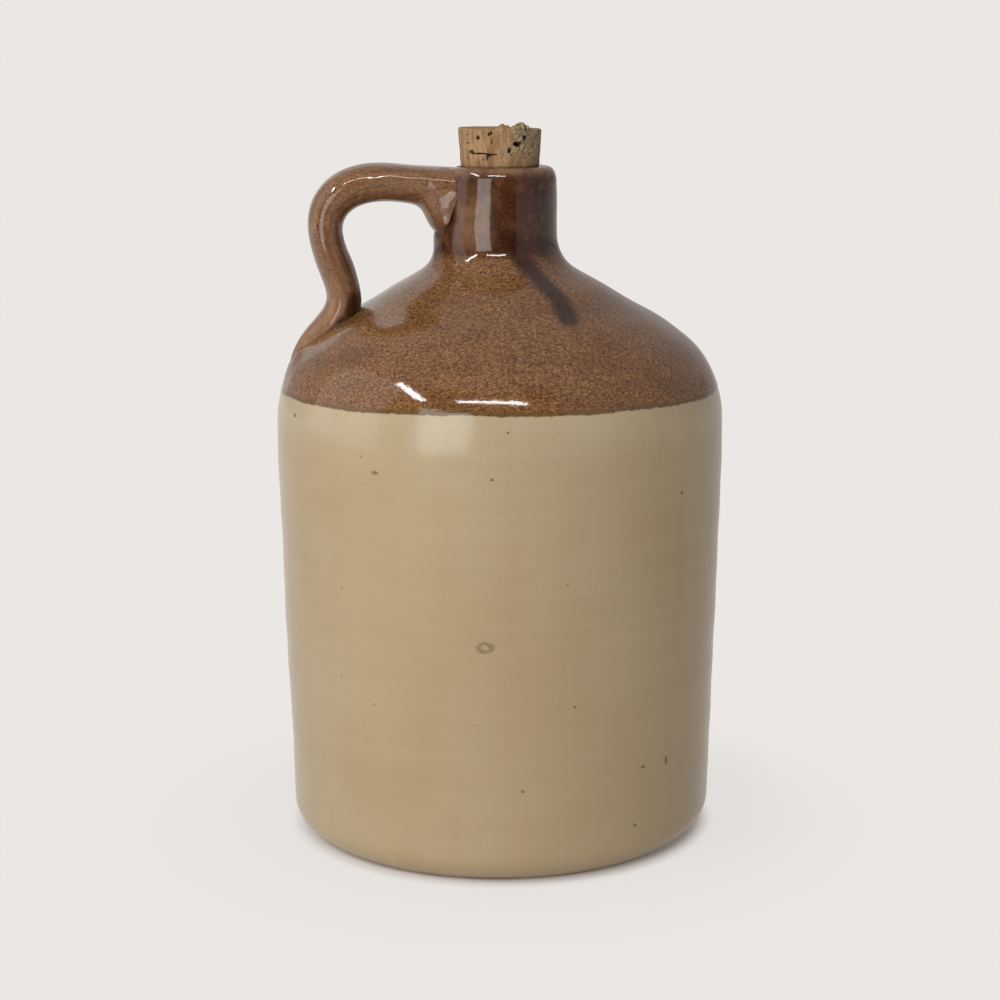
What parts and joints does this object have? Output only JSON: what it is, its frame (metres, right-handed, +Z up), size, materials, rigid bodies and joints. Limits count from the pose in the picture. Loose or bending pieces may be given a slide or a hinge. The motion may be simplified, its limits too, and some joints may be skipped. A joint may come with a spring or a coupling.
{
  "type": "stoneware jug",
  "caption": "Tall two-tone glazed stoneware jug with a domed shoulder, a short neck with a rolled rim, a strap handle and a tapered cork.",
  "frame": {"origin": "on the jug's axis, at the flat foot it stands on", "axes": "+Z up along the jug's axis, handle towards -X, front towards -Y"},
  "size_m": [0.1776, 0.1776, 0.2815],
  "materials": {
    "glazed_stoneware": "glossy salt-type glaze, speckled brown above the shoulder and tan below it",
    "cork": "dry natural cork"
  },
  "bodies": {
    "root": {"jug": "glazed_stoneware", "cork": "cork"}
  },
  "joints": []
}
